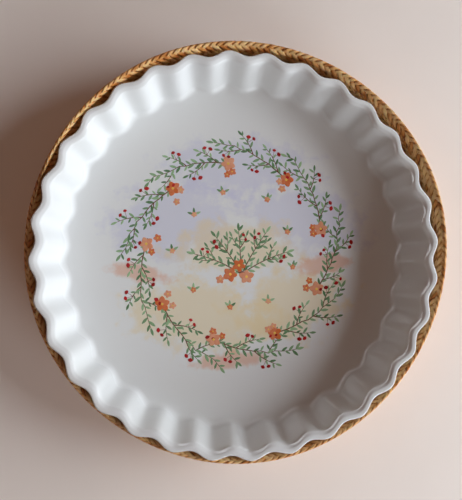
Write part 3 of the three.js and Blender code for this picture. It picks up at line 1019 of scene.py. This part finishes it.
def plait_tree():
    """Flat strands wrapped round a filled core, half of them winding each way."""
    tree, add, given = new_tree("Straw plait", {
        "Stitch": "Float", "Strands": "Int", "Coverage": "Float", "Strand Thickness": "Float",
        "Crossing": "Float", "Unevenness": "Float", "Squareness": "Float", "Section Points": "Int",
        "Seed": "Float", "Material": "Material",
    })
    numbers = ("along", "strand", "size", "deep", "across", "level", "turn")
    vectors = ("middle", "through", "tall")
    along, strand, size, deep, across, level, turn = (
        add("InputNamedAttribute", [name]).outputs["Attribute"] for name in numbers)
    middle, through, tall = (
        add("InputNamedAttribute", [name], data_type="FLOAT_VECTOR").outputs["Attribute"]
        for name in vectors)
    position = add("InputPosition")
    line = add("MeshToCurve", {"Mesh": given["Geometry"]})
    line = add("StoreNamedAttribute", {"Geometry": line, "Name": "middle", "Value": position},
               data_type="FLOAT_VECTOR")

    # A ring of points is swept along the line: how deep and how far across the strand each lies
    ring = add("CurvePrimitiveCircle", {"Resolution": given["Section Points"], "Radius": 1})
    half_step = add("Math", [math.pi, given["Section Points"]], operation="DIVIDE")
    half_step = add("CombineXYZ", {"Z": half_step})
    ring = add("Transform", {"Geometry": ring.outputs["Curve"], "Rotation": half_step})
    ring_axes = add("SeparateXYZ", [position]).outputs
    for name, value in (("deep", ring_axes["X"]), ("across", ring_axes["Y"])):
        ring = add("StoreNamedAttribute", {"Geometry": ring, "Name": name, "Value": value})
    ring = add("Transform", {"Geometry": ring, "Scale": (MM, MM, MM)})

    both_ways = add("Math", [given["Strands"], 2], operation="MULTIPLY")
    strands = add("DuplicateElements", {"Geometry": line, "Amount": both_ways}, domain="SPLINE")
    copies, copy_number = strands.outputs["Geometry"], strands.outputs["Duplicate Index"]
    curve = add("StoreNamedAttribute", {"Geometry": copies, "Name": "strand", "Value": copy_number})
    tubes = add("CurveToMesh", {"Curve": curve, "Profile Curve": ring, "Fill Caps": True})

    # Odd strands wind the other way, and each pair starts a step further round than the last.
    odd = add("Math", [strand, 2], operation="MODULO")
    way = add("Math", [odd, -2, 1], operation="MULTIPLY_ADD")
    pair = add("Math", [strand, odd], operation="SUBTRACT")
    pair = add("Math", [pair, 0.5, 0.25], operation="MULTIPLY_ADD")
    spacing = add("Math", [math.tau, given["Strands"]], operation="DIVIDE")
    start = add("Math", [pair, spacing], operation="MULTIPLY")

    # The stitches are longer here and shorter there, by lumps of about 13 mm, and each strand is
    # wider here and narrower there. Its number moves its pattern well away from the others' patterns.
    lump_place = add("Math", [along, 1 / (13 * MM), given["Seed"]], operation="MULTIPLY_ADD")
    lump = add("TexNoise", {"W": lump_place, "Scale": 1, "Detail": 1}, noise_dimensions="1D")
    lump = add("Math", [lump, 0.5], operation="SUBTRACT")
    run = add("Math", [lump, given["Unevenness"], along], operation="MULTIPLY_ADD")
    wound = add("Math", [run, given["Stitch"]], operation="DIVIDE")
    wound = add("Math", [wound, math.tau], operation="MULTIPLY")
    winding = add("Math", [wound, way, start], operation="MULTIPLY_ADD")
    strand_place = add("Math", [strand, 37.7, lump_place], operation="MULTIPLY_ADD")
    width = add("TexNoise", {"W": strand_place, "Scale": 0.9, "Detail": 1}, noise_dimensions="1D")
    width = add("MapRange", [width, 0.25, 0.75, 0.43, 0.55])
    span = add("Math", [spacing, given["Coverage"]], operation="MULTIPLY")
    span = add("Math", [span, width], operation="MULTIPLY")
    strand_turn = add("Math", [across, span, winding], operation="MULTIPLY_ADD")

    # Each strand goes over the others on two sides and under them on the other two.
    twice = add("Math", [strand_turn, 2, -math.pi / 2], operation="MULTIPLY_ADD")
    over = add("Math", [twice], operation="COSINE")
    over = add("Math", [over, way], operation="MULTIPLY")
    limit = given["Crossing"]
    under = add("Math", [limit, -1], operation="MULTIPLY")
    over = add("MapRange", [over, -0.8, 0.8, under, limit], interpolation_type="SMOOTHSTEP")
    half_thick = add("Math", [given["Strand Thickness"], 0.5], operation="MULTIPLY")
    inset = add("Math", [half_thick, limit], operation="ADD")
    strand_level = add("Math", [deep, half_thick, over], operation="MULTIPLY_ADD")
    strand_level = add("Math", [strand_level, inset], operation="SUBTRACT")

    # The core's points lie all round the line, under the strands.
    coarse_ring = add("ResampleCurve", {"Curve": ring, "Count": 6})
    core = add("CurveToMesh", {"Curve": line, "Profile Curve": coarse_ring, "Fill Caps": True})
    core_turn = add("Math", [across, deep], operation="ARCTAN2")
    core_level = add("Math", [inset, -1.6], operation="MULTIPLY")
    bodies = []
    for body, values in ((tubes, (strand_turn, strand_level)), (core, (core_turn, core_level))):
        for name, value in zip(("turn", "level"), values):
            body = add("StoreNamedAttribute", {"Geometry": body, "Name": name, "Value": value})
        bodies.append(body)
    both = add("JoinGeometry")
    for body in reversed(bodies):
        tree.links.new(body.outputs["Geometry"], both.inputs["Geometry"])

    # An ellipse round the middle line, swollen towards a rectangle
    parts = [add("Math", [turn], operation=wave) for wave in ("COSINE", "SINE")]
    powers = []
    for part in parts:
        part = add("Math", [part], operation="ABSOLUTE")
        powers.append(add("Math", [part, given["Squareness"]], operation="POWER"))
    swell = add("Math", powers, operation="ADD")
    root = add("Math", [1, given["Squareness"]], operation="DIVIDE")
    swell = add("Math", [swell, root], operation="POWER")
    swell = add("Math", [size, swell], operation="DIVIDE")
    place = middle
    for half, part in zip((through, tall), parts):
        reach = add("VectorMath", [half], operation="LENGTH").outputs["Value"]
        for value, operation in ((level, "ADD"), (swell, "MULTIPLY"), (part, "MULTIPLY")):
            reach = add("Math", [reach, value], operation=operation)
        unit = add("VectorMath", [half], operation="NORMALIZE")
        arm = add("VectorMath", {"Vector": unit, "Scale": reach}, operation="SCALE")
        place = add("VectorMath", [place, arm], operation="ADD")
    both = add("SetPosition", {"Geometry": both, "Position": place})
    both = add("FlipFaces", [both])
    straw = add("CombineXYZ", [along, across, strand])
    both = add("StoreNamedAttribute", {"Geometry": both, "Name": "straw", "Value": straw},
               data_type="FLOAT_VECTOR")
    for name in (*numbers, *vectors):
        both = add("RemoveAttribute", {"Geometry": both, "Name": name})
    end_tree(add, both, given["Material"])
    return tree


class TART_OT_basket(bpy.types.Operator):
    """Build the coiled basket of plaited straw"""
    bl_idname = "mesh.tart_basket"
    bl_label = "Straw Basket"

    def execute(self, context):
        basket = context.scene.tart_basket
        material = straw_material(context.scene.tart_finishes)
        tree = plait_tree()
        rim_start = basket.wall_rows - 2.0
        # Each stretch of plait: where it starts and ends in turns, its steps in a stitch, the points
        # of a strand's section, and how square the plait is. What shows most is cut finest.
        stretches = (
            ("basket_rim", rim_start, basket.wall_rows, 14, 8, 2.7),
            ("basket_wall_upper", rim_start / 2, rim_start, 12, 6, 3.5),
            ("basket_wall_lower", WALL_START, rim_start / 2, 12, 6, 3.5),
            ("basket_base_outer", BASE_MIDDLE, WALL_START, 8, 4, 3.5),
            ("basket_base_inner", BASE_START, BASE_MIDDLE, 8, 4, 3.5),
        )
        for name, start, end, steps_per_stitch, section_points, squareness in stretches:
            line = coil_line(basket, context.scene.tart_dish, start, end, steps_per_stitch)
            piece = grow(name, line, tree, {
                "Stitch": basket.stitch,
                "Strands": basket.strands,
                "Coverage": basket.coverage,
                "Strand Thickness": basket.strand_thickness,
                "Crossing": basket.crossing,
                "Unevenness": basket.unevenness,
                "Squareness": squareness,
                "Section Points": section_points,
                "Seed": float(basket.seed),
                "Material": material,
            })
            finish_piece(piece, "plaited_straw", "basket")
        return {"FINISHED"}


# Stage

def paper_material(stage):
    """Matt backdrop paper, with a faint mottle over a hand's breadth."""
    material, add = new_material("Matt paper backdrop")
    place = add("TexCoord").outputs["Object"]
    mottle = add("TexNoise", {"Vector": place, "Scale": 1 / (80 * MM), "Detail": 3})
    pale = [min(1, 1.03 * c) for c in stage.floor]
    tone = add("ValToRGB", [mottle], stops=tuple(zip(MOST, (stage.floor, pale))))
    shader = add("BsdfPrincipled", {"Base Color": tone, "Roughness": 0.9})
    add("OutputMaterial", [shader])
    return material


class TART_OT_stage(bpy.types.Operator):
    """Set up the floor, the light and the camera"""
    bl_idname = "scene.tart_stage"
    bl_label = "Stage"

    def execute(self, context):
        stage = context.scene.tart_stage
        half = stage.floor_size / 2
        corners = [(-half, -half, 0), (half, -half, 0), (half, half, 0), (-half, half, 0)]
        floor = bpy.data.objects.new("floor", mesh_of("floor", corners, [], [(0, 1, 2, 3)]))
        floor.data.materials.append(paper_material(stage))
        context.scene.collection.objects.link(floor)

        for name in LIGHTS:
            power, azimuth, elevation, width, height = (
                getattr(stage, f"{name}_{part}") for part in LIGHT_PARTS)
            level = towards(azimuth) * math.cos(elevation)
            direction = Vector((*level, math.sin(elevation)))
            light = bpy.data.lights.new(name + "_light", "AREA")
            light.shape = "ELLIPSE"
            light.size = width
            light.size_y = height
            light.energy = power
            light.color = stage.light_colour
            lamp = bpy.data.objects.new(name + "_light", light)
            lamp.location = direction * stage.light_distance
            lamp.rotation_euler = direction.to_track_quat("Z", "Y").to_euler()
            # The back and glint lights show only as reflections, and the key only as light.
            lamp.visible_glossy = name != "key"
            lamp.visible_diffuse = name in ("key", "side")
            context.scene.collection.objects.link(lamp)

        world = bpy.data.worlds.new("soft_fill")
        world.use_nodes = True
        background = world.node_tree.nodes["Background"]
        background.inputs["Color"].default_value = (*stage.fill, 1)
        background.inputs["Strength"].default_value = stage.fill_strength
        context.scene.world = world

        # The plain view transform shows the finishes' colours as they are given.
        context.scene.view_settings.view_transform = "Standard"
        camera = bpy.data.objects.new("camera", bpy.data.cameras.new("camera"))
        camera.data.lens = stage.lens
        camera.data.sensor_width = 36
        right = Vector(stage.camera_right).normalized()
        back = right.cross(Vector(stage.camera_up)).normalized()
        turn = Matrix((right, back.cross(right), back)).transposed()
        camera.matrix_world = Matrix.Translation(Vector(stage.camera)) @ turn.to_4x4()
        context.scene.collection.objects.link(camera)
        context.scene.camera = camera
        return {"FINISHED"}


OPERATORS = (TART_OT_dish, TART_OT_print, TART_OT_basket, TART_OT_stage)


class TART_PT_sidebar(bpy.types.Panel):
    """Sizes, colours and buttons of the tart dish"""
    bl_idname = "TART_PT_sidebar"
    bl_label = "Tart Dish"
    bl_space_type = "VIEW_3D"
    bl_region_type = "UI"
    bl_category = "Tart Dish"

    def draw(self, context):
        for group in GROUPS:
            box = self.layout.box()
            settings = getattr(context.scene, group)
            for name in settings.__annotations__:
                box.prop(settings, name)
        for operator in OPERATORS:
            self.layout.operator(operator.bl_idname)


def register():
    for group, settings in GROUPS.items():
        bpy.utils.register_class(settings)
        setattr(bpy.types.Scene, group, PointerProperty(type=settings))
    for item in (*OPERATORS, TART_PT_sidebar):
        bpy.utils.register_class(item)


def unregister():
    for item in (TART_PT_sidebar, *OPERATORS):
        bpy.utils.unregister_class(item)
    for group, settings in GROUPS.items():
        delattr(bpy.types.Scene, group)
        bpy.utils.unregister_class(settings)


def main():
    register()
    bpy.ops.scene.tart_stage()
    bpy.ops.mesh.tart_dish()
    bpy.ops.mesh.tart_print()
    bpy.ops.mesh.tart_basket()


if __name__ == "__main__":
    main()
